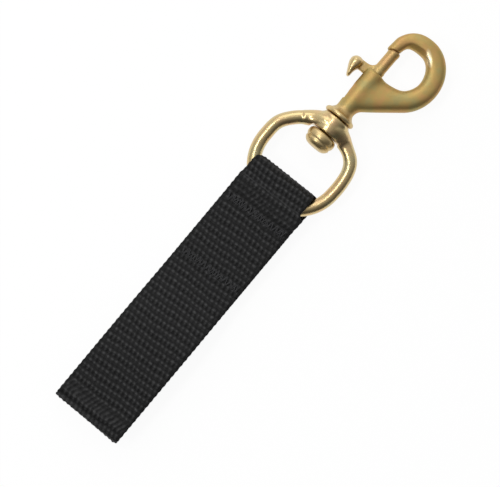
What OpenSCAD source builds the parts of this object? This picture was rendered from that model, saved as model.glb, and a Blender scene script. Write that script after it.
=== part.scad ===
// Swivel snap hook on a sewn webbing strap, lying flat.
// X runs across, Y along the hook's axis towards its bow, and Z up from the table.
// The origin is the centre of the swivel eye's opening, on the swivel's axis.

/* [Hook] */
// Clear width of the throat, from the bolt to the bow
throat_w = 10.8; // [9:0.2:14]
// Clear height of the throat, from the barrel's mouth to the bow
throat_h = 13.3; // [12:0.1:17]
// Width of the bow in the plane of the hook
bow_w = 6.8; // [5.6:0.2:7.6]
// Depth of the bow from front to back
bow_depth = 6.6; // [5.6:0.2:7]
// Width of the nose that the bolt closes on
nose_w = 4.4; // [4:0.1:5]
// Length of the lip that hides the bolt's tip
lip_len = 1.5; // [0.8:0.1:2]

/* [Barrel] */
// Outer diameter of the barrel at its mouth
barrel_d = 7.3; // [7:0.1:8.4]
// Length of barrel and neck, from the collar to the mouth
barrel_len = 17.4; // [17:0.2:22]
// Diameter of the neck above the collar
neck_d = 6.3; // [6:0.1:6.8]
// Height of the plain neck above the collar
neck_h = 2.4; // [1:0.2:3]
// Height of the raised rim round the mouth
rim_h = 0.9; // [0.5:0.1:1.4]

/* [Bolt] */
// Diameter of the bolt
bolt_d = 4.2; // [3.6:0.1:4.6]
// Running gap round the bolt in its bore
bolt_gap = 0.1; // [0.05:0.01:0.15]
// Length of bolt that stays inside the barrel when the hook is shut
bolt_grip = 4; // [3.2:0.2:5]
// Gap between the bolt's tip and the seat in the nose
tip_gap = 0.2; // [0.1:0.05:0.4]
// Distance that the bolt draws back
bolt_travel = 9.6; // [8:0.2:9.8]
// Width of the lever's arm, through the slot
arm_w = 2.4; // [2:0.1:2.8]
// Height of the lever's arm along the bolt
arm_h = 3.4; // [3:0.1:4]
// Gap on each side of the arm in its slot
slot_gap = 0.25; // [0.15:0.05:0.4]
// Length of the thumb pad
pad_len = 7.8; // [6.6:0.2:9]
// Thickness of the thumb pad at its top
pad_top_w = 4.1; // [3:0.1:5]
// Width of the thumb pad from front to back
pad_depth = 6.2; // [5:0.2:7]

/* [Spring] */
// Diameter of the spring's wire
wire_d = 0.5; // [0.4:0.05:0.6]
// Number of turns in the spring
spring_turns = 6; // [4:0.5:6.5]

/* [Swivel] */
// Diameter of the collar that turns on the eye
collar_d = 11.2; // [10:0.2:12]
// Height of the collar
collar_h = 2; // [1.6:0.1:3]
// Diameter of the swivel's shank
shank_d = 4.8; // [4:0.1:5.4]
// Running gap round the shank in the eye's bore
swivel_gap = 0.08; // [0.05:0.01:0.1]
// Free play of the swivel along its axis, at each end
end_play = 0.25; // [0.15:0.05:0.3]
// Diameter of the headed end inside the eye
head_d = 10.2; // [8:0.2:11]
// Height of the headed end
head_h = 5.5; // [4:0.1:6]

/* [Eye] */
// Clear width of the eye
eye_w = 24.8; // [23:0.2:28]
// Diameter of the eye's rod
rod_d = 4.6; // [4:0.1:5]
// Length of the short straight at each side of the eye
eye_straight = 1.3; // [0.4:0.1:3]
// Height that the swivel boss stands proud of the eye's ring
boss_proud = 1.3; // [0.8:0.1:2]
// Depth of the swivel boss from front to back
boss_d = 10.8; // [9:0.2:11.2]
// Height of the swivel boss along the axis
boss_h = 6.2; // [5.6:0.1:7]

/* [Strap] */
// Width of the webbing
web_w = 25.4; // [22:0.1:28]
// Thickness of the webbing
web_t = 1.6; // [1.3:0.1:1.8]
// Length of the folded strap, from fold to fold
strap_len = 104; // [90:1:140]
// Distance from the eye's centre to the fold that hangs in it
fold_y = 6.2; // [5.6:0.1:6.6]
// Gap between the webbing and the eye's rod
strap_gap = 0.3; // [0.2:0.05:0.5]
// Length of the sewn part, from the pocket to the belt loop
sewn_len = 27; // [20:0.5:34]
// Length of the pocket that the eye's rod lies in
pocket_len = 13.6; // [13:0.2:16]
// Clear height of the belt loop at its middle
loop_gap = 8; // [6.4:0.2:9]
// Clear height of the belt loop at its far fold
end_gap = 6; // [4.4:0.2:6.4]
// Distance from one woven rib to the next
rib_pitch = 2.16; // [1.8:0.02:3]
// Height of a woven rib
rib_h = 0.3; // [0.1:0.05:0.4]
// Width of strap taken in at each edge inside the eye
waist = 1.1; // [0.6:0.1:1.6]
// Lean of the strap away from the hook's axis, in degrees
strap_lean = 0.7; // [-2:0.1:2]

/* [Stitching] */
// Height of each bar tack along the strap
tack_h = 3; // [2:0.1:4]
// Width of each bar tack across the strap
tack_w = 22.6; // [16:0.2:23]
// Number of zigzags in a bar tack
tack_turns = 18; // [8:1:24]
// Thickness of the thread
thread_d = 0.45; // [0.3:0.05:0.6]

/* [Hidden] */
BRASS = [0.70, 0.55, 0.27];
STEEL = [0.62, 0.62, 0.60];
WEBBING = [0.13, 0.13, 0.14];
THREAD = [0.20, 0.20, 0.21];
CURVE = 64;
EPS = 0.02;

// Places along the axis, from the eye to the bow
rod_r = rod_d / 2;
eye_r = eye_w / 2 + rod_r;
boss_top = eye_r + rod_r + boss_proud;
boss_low = boss_top - boss_h;
head_top = boss_low - end_play;
collar_low = boss_top + end_play;
collar_top = collar_low + collar_h;
mouth_y = collar_top + barrel_len;
throat_top = mouth_y + throat_h;
tip_y = mouth_y + throat_h - 3.5;
seat_y = tip_y + tip_gap;
lip_y = seat_y - lip_len;
bolt_tail = mouth_y - bolt_grip;
bore_d = bolt_d + 2 * bolt_gap;
bore_low = collar_top + 0.6;
arm_y = mouth_y - 1;
slot_low = arm_y - arm_h / 2 - bolt_travel - 2 * slot_gap;

// The throat's middle, from which the bow is drawn
throat_x = bolt_d / 2 + throat_w / 2;
throat_y = mouth_y + throat_h / 2;
nose_x = nose_w / 2 - 0.65;
web_angle = -56;
nose_angle = 146;

// Places along the strap, counted towards its far fold
fold_r = rod_r + strap_gap + web_t;
sewn_half = 1.5 * web_t;
fold_mid = -fold_y - fold_r;
rod_end = -(eye_straight + eye_r + rod_r + strap_gap);
sewn_start = -fold_y - web_t - pocket_len;
sewn_end = sewn_start - sewn_len;
strap_end = -fold_y - strap_len;
end_r = end_gap / 2 + web_t;
end_mid = strap_end + end_r;
loop_half = loop_gap / 2 + web_t;

function mix(a, b, t) = a + (b - a) * t;
function ease(t) = (1 - cos(180 * max(0, min(1, t)))) / 2;
function curve3(a, b, c, t) = (1 - t) * (1 - t) * a + 2 * t * (1 - t) * b + t * t * c;
function signed_power(v, p) = sign(v) * pow(abs(v), p);

// Distance from the middle of a rounded box to its edge, at one angle
function rounded_reach(a, half_x, half_y, n) =
    pow(pow(abs(cos(a)) / half_x, n) + pow(abs(sin(a)) / half_y, n), -1 / n);

// The throat's edge: round on the bow's side, fuller at its foot, and squarer beside the bolt
function inner_edge(a) =
    let (r = cos(a) > 0
        ? rounded_reach(a, throat_w / 2, throat_h / 2, sin(a) > 0 ? 2 : 1.75)
        : rounded_reach(a, throat_x - nose_x, throat_h / 2, 5))
    [throat_x + r * cos(a), throat_y + r * sin(a)];

// The bow's outside, one bow width beyond the throat
function outer_edge(a) =
    let (r = cos(a) > 0
        ? rounded_reach(a, throat_w / 2 + bow_w, throat_h / 2 + bow_w, 2)
        : rounded_reach(a, throat_x - nose_x + nose_w + 0.5, throat_h / 2 + bow_w, 2.4))
    [throat_x + r * cos(a), throat_y + r * sin(a)];

// One closed section across the bow, from its inner edge to its outer edge
function bow_section(inner, outer, depth, n) =
    let (mid = (inner + outer) / 2, half = (outer - inner) / 2)
    [for (j = [0:19])
        let (u = signed_power(cos(18 * j), 2 / n), v = signed_power(sin(18 * j), 2 / n))
        [mid.x + half.x * u, mid.y + half.y * u, depth / 2 * v]];

// Skins a row of sections into one closed solid
module skin(sections) {
    m = len(sections[0]);
    last = len(sections) - 1;
    sides = [for (i = [0:last - 1]) for (j = [0:m - 1])
        [i * m + j, i * m + (j + 1) % m, (i + 1) * m + (j + 1) % m, (i + 1) * m + j]];
    start_cap = [[for (j = [m - 1:-1:0]) j]];
    end_cap = [[for (j = [0:m - 1]) last * m + j]];
    polyhedron([for (s = sections) for (p = s) p], concat(sides, start_cap, end_cap));
}

// Turns a solid made along Z so that it runs along Y from one place on the axis
module along_axis(y) {
    translate([0, y, 0]) rotate([-90, 0, 0]) children();
}

// A disc with both rims rounded
module rounded_disc(d, h, r) {
    cylinder(d = d - 2 * r, h = h, $fn = CURVE);
    translate([0, 0, r]) cylinder(d = d, h = h - 2 * r, $fn = CURVE);
    for (z = [r, h - r])
        rotate_extrude($fn = CURVE) translate([d / 2 - r, z]) circle(r, $fn = 24);
}

// The bow: a fan of sections out of the barrel, round the throat, down to the nose
module bow() {
    web_out = outer_edge(web_angle);
    web_in = inner_edge(web_angle);
    root_out = [0, collar_top + 0.8];
    root_in = [0, mouth_y - 0.3];
    web = [for (i = [0:5])
        let (t = i / 6)
        bow_section(curve3(root_in, [web_in.x - 2, mouth_y - 0.3], web_in, t),
            mix(root_out, web_out, t), mix(bow_depth - 0.6, bow_depth, t), mix(3.4, 2.5, t))];
    round_part = [for (i = [0:22])
        let (a = mix(web_angle, nose_angle, i / 22))
        bow_section(inner_edge(a), outer_edge(a),
            mix(bow_depth, nose_w + 1.2, ease((a - 90) / 60)), 2.4)];
    nose = [for (i = [1:3])
        let (t = i / 3)
        bow_section(mix(inner_edge(nose_angle), [nose_x, seat_y - 0.1], t),
            mix(outer_edge(nose_angle), [nose_x - nose_w, lip_y], ease(t / 2 + 0.5) * t),
            nose_w + 1.2, 2.4)];
    skin(concat(web, round_part, nose));
}

module hook_body() {
    color(BRASS)
    difference() {
        union() {
            along_axis(head_top - head_h) rounded_disc(head_d, head_h, 2);
            along_axis(head_top - 1) cylinder(d = shank_d, h = boss_h + 2 * end_play + 2, $fn = CURVE);
            along_axis(collar_low) rounded_disc(collar_d, collar_h, 0.5);
            along_axis(collar_top - EPS) cylinder(d1 = neck_d + 2, d2 = neck_d, h = 1.2, $fn = CURVE);
            along_axis(collar_top - 0.5) cylinder(d = neck_d, h = neck_h + 0.5, $fn = CURVE);
            along_axis(collar_top + neck_h - EPS)
                cylinder(d1 = neck_d, d2 = barrel_d, h = barrel_len - neck_h - rim_h + EPS, $fn = CURVE);
            along_axis(mouth_y - rim_h - EPS) cylinder(d = barrel_d + 0.2, h = rim_h + EPS, $fn = CURVE);
            bow();
        }
        along_axis(bore_low) cylinder(d = bore_d, h = mouth_y - bore_low + 1, $fn = CURVE);
        along_axis(lip_y - 1) cylinder(d = bore_d, h = seat_y - lip_y + 1, $fn = CURVE);
        translate([-barrel_d, slot_low, -arm_w / 2 - slot_gap])
            cube([barrel_d, mouth_y - slot_low + 1, arm_w + 2 * slot_gap]);
    }
}

// Side outline of the lever's arm, with a curved foot on the bolt and another under the pad
module arm_outline() {
    top = arm_y + arm_h / 2;
    low = arm_y - arm_h / 2;
    pad_x = -(barrel_d / 2 + 2.7);
    side_x = -bolt_d / 2;
    foot = [for (i = [0:6])
        curve3([side_x + 0.1, top + 1.4], [side_x - 0.5, top], [side_x - 2.6, top], i / 6)];
    armpit = [for (i = [0:6])
        curve3([pad_x, low - 1.6], [pad_x + 0.3, low], [pad_x + 1.7, low], i / 6)];
    polygon(concat([[0, top + 1.4]], foot, [[pad_x - 1, top], [pad_x - 1, low - 1.6]], armpit, [[0, low]]));
}

// Side outline of the thumb pad: a full crown that the thumb pushes, drawn out to a thin point
module pad_outline() {
    inner_x = -(barrel_d / 2 + 2);
    outer_x = inner_x - pad_top_w;
    low_x = inner_x - 1.2;
    top = arm_y + arm_h / 2;
    low = top - pad_len + 0.8;
    back = [for (i = [0:8])
        curve3([low_x - 0.45, low], [outer_x + 0.4, top - 4.2], [outer_x, top - 1.9], i / 8)];
    crown = [for (i = [1:8])
        curve3([outer_x, top - 1.9], [outer_x + 0.3, top + 0.1], [inner_x - 1.7, top + 0.15], i / 8)];
    inner = [[inner_x, top - 0.05], [inner_x, arm_y], [low_x + 0.45, top - 4.6], [low_x + 0.45, low]];
    polygon(concat(back, crown, inner));
    translate([low_x, low]) circle(d = 0.9, $fn = 24);
}

module bolt() {
    pad_low = arm_y + arm_h / 2 - pad_len;
    color(BRASS) {
        along_axis(bolt_tail) cylinder(d = bolt_d, h = tip_y - bolt_tail - 0.5, $fn = CURVE);
        along_axis(tip_y - 0.5 - EPS) cylinder(d1 = bolt_d, d2 = bolt_d - 0.8, h = 0.5 + EPS, $fn = CURVE);
        translate([0, 0, -arm_w / 2]) linear_extrude(arm_w) arm_outline();
        intersection() {
            translate([0, 0, -pad_depth / 2]) linear_extrude(pad_depth) pad_outline();
            translate([-barrel_d - pad_top_w, 0, 0]) rotate([90, 0, 90])
                linear_extrude(barrel_d + pad_top_w) {
                    translate([pad_low + pad_depth / 2, 0]) circle(d = pad_depth, $fn = CURVE);
                    translate([pad_low + pad_depth / 2, -pad_depth / 2]) square([pad_len, pad_depth]);
                }
        }
    }
}

// The spring's wire, swept round the axis from the bore's floor to the bolt's tail
module bolt_spring() {
    coil_r = bore_d / 2 - wire_d / 2 - 0.15;
    start = bore_low + wire_d / 2 + 0.05;
    rise = bolt_tail - wire_d / 2 - 0.05 - start;
    steps = 20;
    rings = [for (i = [0:steps * spring_turns])
        let (a = 360 * i / steps, t = i / (steps * spring_turns))
        [for (k = [0:5])
            let (r = coil_r + wire_d / 2 * cos(60 * k))
            [r * cos(a), start + rise * t + wire_d / 2 * sin(60 * k), -r * sin(a)]]];
    color(STEEL) skin(rings);
}

// One section of the eye, at an angle round it: round rod, swelling to a broad saddle at the top.
// The saddle keeps its depth further out than its height.
function eye_section(a, straight) =
    let (off = abs(a - 90),
        rise = ease((40 - off) / 36),
        swell = ease((44 - off) / 28),
        r_mid = mix(eye_r, (boss_top + boss_low) / 2, rise),
        half_r = mix(rod_r, boss_h / 2 + 0.4, rise),
        half_z = mix(rod_r, boss_d / 2, swell))
    [for (j = [0:15])
        let (r = r_mid + half_r * cos(22.5 * j))
        [r * cos(a), straight + r * sin(a), half_z * sin(22.5 * j)]];

// The eye's ring, two half rounds joined by short straights, as one endless skin
module eye_ring() {
    far = [for (a = [0:5:180]) eye_section(a, 0)];
    near = [for (a = [180:6:360]) eye_section(a, -eye_straight)];
    rings = concat(far, near);
    count = len(rings);
    polyhedron([for (s = rings) for (p = s) p],
        [for (i = [0:count - 1]) for (j = [0:15])
            let (here = i * 16, next = ((i + 1) % count) * 16, k = (j + 1) % 16)
            [here + j, here + k, next + k, next + j]]);
}

module swivel_eye() {
    color(BRASS)
    difference() {
        union() {
            eye_ring();
            along_axis(boss_low) cylinder(d = boss_d - 0.6, h = boss_h, $fn = CURVE);
        }
        along_axis(boss_low - 4) cylinder(r = shank_d / 2 + swivel_gap, h = boss_h + 8, $fn = CURVE);
        along_axis(boss_low - 4) cylinder(d = head_d + 1.4, h = 4, $fn = CURVE);
        translate([-eye_r, boss_top, -boss_d]) cube([2 * eye_r, 4, 2 * boss_d]);
    }
}

// Height of the strap's outer face above its middle plane, at one place along it
function face_height(y) =
    y > rod_end ? fold_r
    : y > sewn_start ? mix(fold_r, sewn_half, ease((rod_end - y) / (rod_end - sewn_start)))
    : y > sewn_end ? sewn_half
    : let (t = (sewn_end - y) / (sewn_end - end_mid))
        t < 0.45 ? mix(sewn_half, loop_half, ease(t / 0.45))
        : mix(loop_half, end_r, ease((t - 0.6) / 0.4));

// Depth of the belt loop's back, which leaves the sewn part as the layer between the other two
function loop_back(y) =
    let (t = (sewn_end - y) / (sewn_end - end_mid))
    t < 0.4 ? mix(web_t / 2, loop_half, ease(t / 0.4)) : face_height(y);

// Place where the webbing's second end is cut, just past the sewn part, on the back
end_cut = sewn_end - 1.4;
function back_depth(y) = y > end_cut ? face_height(y) : loop_back(y);

// One point on the strap's front or back face, by the distance walked from fold to fold
near_arc = fold_r * PI / 2;
flat_run = fold_mid - end_mid;
far_arc = end_r * PI / 2;
function face_point(s, lift, front) =
    s < near_arc
        ? let (a = 90 * s / near_arc, z = (fold_r + lift) * sin(a))
            [fold_mid + (fold_r + lift) * cos(a), front ? z : -z]
    : s < near_arc + flat_run
        ? let (y = fold_mid - (s - near_arc))
            [y, front ? face_height(y) + lift : -back_depth(y) - lift]
    : let (a = 90 + 90 * (s - near_arc - flat_run) / far_arc, z = (end_r + lift) * sin(a))
        [end_mid + (end_r + lift) * cos(a), front ? z : -z];

// The whole outside in profile: every woven rib is a low bump of four faces
module strap_outline() {
    ribs = round((near_arc + flat_run + far_arc) / rib_pitch);
    step = (near_arc + flat_run + far_arc) / (4 * ribs);
    lifts = [-rib_h, -rib_h * 0.2, 0, -rib_h * 0.2];
    front = [for (i = [0:4 * ribs]) face_point(i * step, lifts[i % 4], true)];
    back = [for (i = [4 * ribs - 1:-1:1]) face_point(i * step, lifts[i % 4], false)];
    cut_face = [[end_cut, -loop_back(end_cut)], [end_cut, -sewn_half]];
    polygon(concat(front, [for (p = back) if (p.x < end_cut) p], cut_face,
        [for (p = back) if (p.x > end_cut) p]));
}

// The pocket that the eye's rod lies in
module pocket_outline() {
    r = fold_r - web_t;
    curve = [for (i = [0:8]) [fold_mid + r * cos(90 * i / 8), r * sin(90 * i / 8)]];
    slope = [for (i = [0:6])
        let (y = mix(rod_end, sewn_start, i / 6)) [y, face_height(y) - web_t]];
    upper = concat(curve, slope);
    polygon(concat(upper, [for (i = [len(upper) - 1:-1:1]) [upper[i].x, -upper[i].y]]));
}

// The belt loop's opening, from the sewn part to the far fold
module loop_outline() {
    r = end_r - web_t;
    places = [for (i = [0:16]) mix(sewn_end, end_mid, i / 16)];
    front = [for (y = places) [y, face_height(y) - web_t]];
    fold = [for (i = [1:15]) [end_mid - r * sin(180 * i / 16), r * cos(180 * i / 16)]];
    back = [for (i = [16:-1:1]) [places[i], web_t - loop_back(places[i])]];
    polygon(concat(front, fold, back));
}

// Moves a strap piece to its lean about the eye's rod
module leaning() {
    translate([0, -eye_r, 0]) rotate([0, 0, strap_lean]) translate([0, eye_r, 0]) children();
}

// The strap seen from above: full width, taken in where it passes through the eye
module plan_outline() {
    half = web_w / 2;
    bend = -fold_y - fold_r - 4;
    polygon([
        [-half + waist, 0], [half - waist, 0], [half - waist, bend], [half, bend - 3],
        [half, strap_end + 1.2], [half - 1.2, strap_end - 1], [-half + 1.2, strap_end - 1],
        [-half, strap_end + 1.2], [-half, bend - 3], [-half + waist, bend]]);
}

module webbing_strap() {
    color(WEBBING)
    difference() {
        leaning() intersection() {
            translate([-web_w, 0, 0]) rotate([90, 0, 90]) linear_extrude(2 * web_w)
                difference() {
                    strap_outline();
                    pocket_outline();
                    loop_outline();
                }
            translate([0, 0, -fold_r - loop_half]) linear_extrude(2 * (fold_r + loop_half)) plan_outline();
        }
        // Room for the eye's rod, where the strap's edges fold in beside it
        translate([0, -eye_straight, 0]) rotate([0, 0, 180])
            rotate_extrude(angle = 180, $fn = 96)
                translate([eye_r, 0]) circle(r = rod_r + strap_gap - 0.05, $fn = 32);
    }
}

// One zigzag of thread across the strap, as a band of even width
module bar_tack() {
    points = [for (i = [0:tack_turns])
        [mix(-tack_w / 2, tack_w / 2, i / tack_turns), (i % 2 - 0.5) * (tack_h - thread_d)]];
    near = [for (p = points) p + [0, thread_d * 0.8]];
    far = [for (i = [tack_turns:-1:0]) points[i] - [0, thread_d * 0.8]];
    linear_extrude(thread_d) polygon(concat(near, far));
}

module stitching() {
    first = sewn_start - tack_h / 2 - 0.3;
    second = sewn_end + tack_h / 2 + 0.6;
    color(THREAD)
    leaning()
        for (y = [first, second])
            translate([0, y, 0]) {
                translate([0, 0, sewn_half]) bar_tack();
                translate([0, 0, -sewn_half - thread_d]) bar_tack();
            }
}

hook_body();
bolt();
bolt_spring();
swivel_eye();
webbing_strap();
stitching();
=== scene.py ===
# %% [markdown]
# # A brass swivel snap hook on a sewn webbing strap
#
# This lesson dresses a CAD model of a swivel snap hook. The CAD gives every piece its place and
# its size, and Blender gives it the look: soft edges of tumbled brass, and black webbing with
# every woven bump in the mesh. We start by loading the CAD model, which then stays as it is.

# %% Load the fixed frame
import math

import bpy
import numpy as np
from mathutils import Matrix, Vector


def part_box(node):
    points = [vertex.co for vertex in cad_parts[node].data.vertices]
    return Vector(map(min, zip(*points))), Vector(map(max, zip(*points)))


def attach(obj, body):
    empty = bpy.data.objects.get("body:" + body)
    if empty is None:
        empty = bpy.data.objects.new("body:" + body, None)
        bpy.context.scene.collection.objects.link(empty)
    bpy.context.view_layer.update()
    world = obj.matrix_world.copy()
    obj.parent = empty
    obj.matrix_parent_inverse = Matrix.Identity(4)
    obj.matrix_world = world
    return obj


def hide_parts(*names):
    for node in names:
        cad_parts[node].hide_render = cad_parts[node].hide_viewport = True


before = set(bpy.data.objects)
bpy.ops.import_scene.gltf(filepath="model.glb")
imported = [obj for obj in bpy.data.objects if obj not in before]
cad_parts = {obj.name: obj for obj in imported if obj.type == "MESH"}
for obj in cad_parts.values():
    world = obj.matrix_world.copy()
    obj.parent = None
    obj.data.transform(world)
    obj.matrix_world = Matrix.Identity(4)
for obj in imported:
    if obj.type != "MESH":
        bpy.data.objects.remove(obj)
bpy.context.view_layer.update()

MM = 0.001

# %% [markdown]
# ## Places that the pieces share
#
# X runs across the hook, Y along it towards the bow, and Z up. The origin is the centre of the
# swivel eye. We read the places that matter from the boxes of the CAD nodes, so a change there
# carries over, and keep the rest as named sizes in millimetres.

# %% Read the shared places from the frame
def span(node):
    """The lowest and highest corners of a CAD node, in millimetres."""
    low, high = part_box(node)
    return np.array(low) / MM, np.array(high) / MM


body_low, _ = span("hook_body")
_, bolt_high = span("bolt")
_, eye_high = span("swivel_eye")
strap_low, _ = span("webbing_strap")

# The eye: its rod, the straights between its two half circles, and the boss on top.
ROD_R, EYE_STRAIGHT, BOSS_H, END_PLAY = 2.3, 1.3, 6.2, 0.25
EYE_R = eye_high[0] - ROD_R
BOSS_TOP = eye_high[1]
BOSS_LOW = BOSS_TOP - BOSS_H

# The body, from the head inside the eye up to the barrel's mouth.
SHANK_R, COLLAR_H, BARREL_L, BORE_R = 2.4, 2.0, 17.4, 2.2
HEAD_LOW, HEAD_TOP = body_low[1], BOSS_LOW - END_PLAY
COLLAR_LOW = BOSS_TOP + END_PLAY
COLLAR_TOP = COLLAR_LOW + COLLAR_H
MOUTH = COLLAR_TOP + BARREL_L
BORE_LOW = COLLAR_TOP + 0.6

# The bolt, the seat for its tip in the nose, the lever's arm, and how far the bolt draws back.
BOLT_R, BOLT_L, TIP_GAP, SEAT_DEPTH = 2.1, 13.8, 0.2, 1.5
TIP = bolt_high[1]
SEAT = TIP + TIP_GAP
LIP = SEAT - SEAT_DEPTH
ARM_Y, ARM_HALF, TRAVEL = MOUTH - 1.0, 1.7, 9.6

TABLE = min(body_low[2], strap_low[2])
print("barrel's mouth at", round(MOUTH, 2), "bolt's tip at", round(TIP, 2),
      "table at", round(TABLE, 2))

# %% [markdown]
# ## Surfaces from grids of points
#
# A surface here is a grid of points worked out at once with numpy: each row is one closed
# section, and neighbouring rows are joined by quads. A signed volume tells us whether the skin
# faces outwards, and we turn it round if it doesn't.

# %% Join a grid into a skin
def ring_skin(points, endless=False):
    """Points, quads and triangles of a closed skin over a grid of points in millimetres.

    points[row, column] holds closed sections. A quad joins each point to the next in its section
    and the two beyond. The first and last sections are closed by a fan round their middle, unless
    the rows run round endlessly. The volume is a sixth of the sum of each triangle's a . (b x c).
    """
    rows, cols = points.shape[:2]
    r, c = np.meshgrid(np.arange(rows if endless else rows - 1), np.arange(cols), indexing="ij")
    r2, c2 = (r + 1) % rows, (c + 1) % cols
    corners = [r * cols + c, r * cols + c2, r2 * cols + c2, r2 * cols + c]
    quads = np.stack(corners, -1).reshape(-1, 4)
    fans = np.empty((0, 3), int)
    verts = points.reshape(-1, 3)
    if not endless:
        verts = np.vstack([verts, points[0].mean(0), points[-1].mean(0)])
        k = np.arange(cols)
        n = (k + 1) % cols
        last = (rows - 1) * cols
        start = np.stack([n, k, np.full(cols, rows * cols)], -1)
        end = np.stack([last + k, last + n, np.full(cols, rows * cols + 1)], -1)
        fans = np.vstack([start, end])
    a, b, c, d = (verts[quads[:, i]] for i in range(4))
    six_volumes = (a * np.cross(b, c)).sum() + (a * np.cross(c, d)).sum()
    if six_volumes < 0:
        quads, fans = quads[:, ::-1], fans[:, ::-1]
    return verts, quads, fans


# %% Put skins into an object
def mesh_object(name, skins):
    """One smooth-shaded object from a list of closed skins, placed by its points."""
    verts, faces, base = [], [], 0
    for points, quads, fans in skins:
        verts.append(points)
        faces += (quads + base).tolist() + (fans + base).tolist()
        base += len(points)
    mesh = bpy.data.meshes.new(name)
    mesh.from_pydata((np.vstack(verts) * MM).tolist(), [], faces)
    mesh.shade_smooth()
    mesh.validate()
    obj = bpy.data.objects.new(name, mesh)
    bpy.context.scene.collection.objects.link(obj)
    return obj


# %% Curves that come back often
def ease(t):
    """A smooth step from 0 to 1: half a cosine wave, level at both ends."""
    return (1 - np.cos(np.pi * np.clip(t, 0, 1))) / 2


def bell(t, middle, width):
    """A smooth hill: e to the minus square of the distance from the middle, in widths."""
    return np.exp(-((t - middle) / width) ** 2)


def signed_power(v, p):
    """The size of v raised to p, with the sign of v kept."""
    return np.sign(v) * np.abs(v) ** p


# %% [markdown]
# ## Casting soft edges
#
# Real snaps are cast in one piece and tumbled with stones, so no edge is sharp and every corner
# flows into the next. We wrap closed solids in one voxel skin and let its points drift towards
# their neighbours, as the tumbling does, and how far they drift may differ from place to place.

# %% Bake modifiers and read points
def applied(obj):
    """Bakes an object's modifiers into its mesh and drops them."""
    graph = bpy.context.evaluated_depsgraph_get()
    mesh = bpy.data.meshes.new_from_object(obj.evaluated_get(graph))
    old = obj.data
    obj.modifiers.clear()
    obj.data = mesh
    bpy.data.meshes.remove(old)
    mesh.shade_smooth()
    return obj


def points_of(mesh):
    """The mesh's points in millimetres, one row each."""
    flat = np.empty(len(mesh.vertices) * 3)
    mesh.vertices.foreach_get("co", flat)
    return flat.reshape(-1, 3) / MM


# %% Tumble a casting
def tumbled(obj, voxel, steps, share=None):
    """Wraps the object in a voxel skin, then moves each point half way to its neighbours' mean.

    share(points) says, from 0 to 1, how much of each move is made at each place.
    """
    wrap = obj.modifiers.new("wrap", "REMESH")
    wrap.mode = "VOXEL"
    wrap.voxel_size = voxel * MM
    applied(obj)
    mesh = obj.data
    points = points_of(mesh)
    ends = np.empty(len(mesh.edges) * 2, np.int32)
    mesh.edges.foreach_get("vertices", ends)
    a, b = ends.reshape(-1, 2).T
    count = np.bincount(ends, minlength=len(points))[:, None]
    pull = 0.5 if share is None else 0.5 * share(points)[:, None]
    for _ in range(steps):
        total = np.stack([
            np.bincount(a, points[b, i], len(points))
            + np.bincount(b, points[a, i], len(points))
            for i in range(3)], -1)
        points = points + pull * (total / count - points)
    mesh.vertices.foreach_set("co", (points * MM).ravel())
    mesh.update()
    return obj


# %% Cut with turned tools and blocks
def cut(obj, *skins):
    """Takes closed cutters away from the object, one after another."""
    for skin in skins:
        tool = mesh_object("cutter", [skin])
        bite = obj.modifiers.new("bite", "BOOLEAN")
        bite.operation = "DIFFERENCE"
        bite.solver = "EXACT"
        bite.object = tool
        applied(obj)
        bpy.data.objects.remove(tool)
    return obj


def turned(profile, steps=96):
    """A solid turned about the hook's axis. profile rows are (distance along Y, radius)."""
    a = np.linspace(0, 2 * np.pi, steps, endpoint=False)
    y, r = np.array(profile, float).T
    r = np.maximum(r, 0.01)
    points = np.stack([
        r[:, None] * np.cos(a), np.repeat(y[:, None], steps, 1), r[:, None] * np.sin(a)], -1)
    return ring_skin(points)


def block(low, high):
    """A box between two corners, used as a cutter."""
    x = np.array([low[0], high[0], high[0], low[0]])
    z = np.array([low[2], low[2], high[2], high[2]])
    points = np.stack([np.stack([x, np.full(4, y), z], -1) for y in (low[1], high[1])])
    return ring_skin(points)


# %% [markdown]
# ## The bow
#
# The bow is a fan of sections. It leaves the barrel as a broad web, runs round the throat with
# an even width, and ends in the nose that the bolt closes on. Its faces are nearly flat. Towards
# the throat they are planed off at the top of the bow, and that plane catches light and shade.

# %% Edges of the bow
THROAT_W, THROAT_H, THROAT_RISE = 10.8, 13.3, 0.6
BOW_W, BOW_DEPTH = 6.8, 6.6
NOSE_W, NOSE_DEPTH = 4.4, 5.6
THROAT = np.array([BOLT_R + THROAT_W / 2, MOUTH + THROAT_H / 2])
NOSE_X = NOSE_W / 2 - 0.65
WEB_ANGLE, NOSE_ANGLE = -56.0, 146.0
NO_PLANE = 0.02


def rounded_reach(a, half_x, half_y, n):
    """Distance to the edge of a rounded box: the nth powers of both shares add up to one."""
    return ((np.abs(np.cos(a)) / half_x) ** n + (np.abs(np.sin(a)) / half_y) ** n) ** (-1 / n)


def around_throat(degrees, extra, foot_n, left, left_n):
    """Points round the throat at some angles: an ellipse to the right, a squarer curve to the left.

    foot_n below two draws the ellipse in at the throat's foot.
    """
    a = np.radians(degrees)
    half_y = THROAT_H / 2 + extra
    right_r = rounded_reach(a, THROAT_W / 2 + extra, half_y, np.where(np.sin(a) > 0, 2.0, foot_n))
    left_r = rounded_reach(a, left, half_y, left_n)
    r = np.where(np.cos(a) > 0, right_r, left_r)
    return THROAT + np.stack([r * np.cos(a), r * np.sin(a)], -1)


def inner_edge(degrees):
    """The throat's own curve, raised a little at its top."""
    high = np.maximum(np.sin(np.radians(degrees)), 0) ** 2
    flat = around_throat(degrees, 0.0, 1.7, THROAT[0] - NOSE_X, 5)
    return flat + np.stack([0 * high, THROAT_RISE * high], -1)


def outer_edge(degrees):
    """The throat's curve moved out by the bow's width, and made a little squarer at the nose."""
    return around_throat(degrees, BOW_W, 2.0, THROAT[0] - NOSE_X + NOSE_W + 0.5, 2.4)


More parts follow.
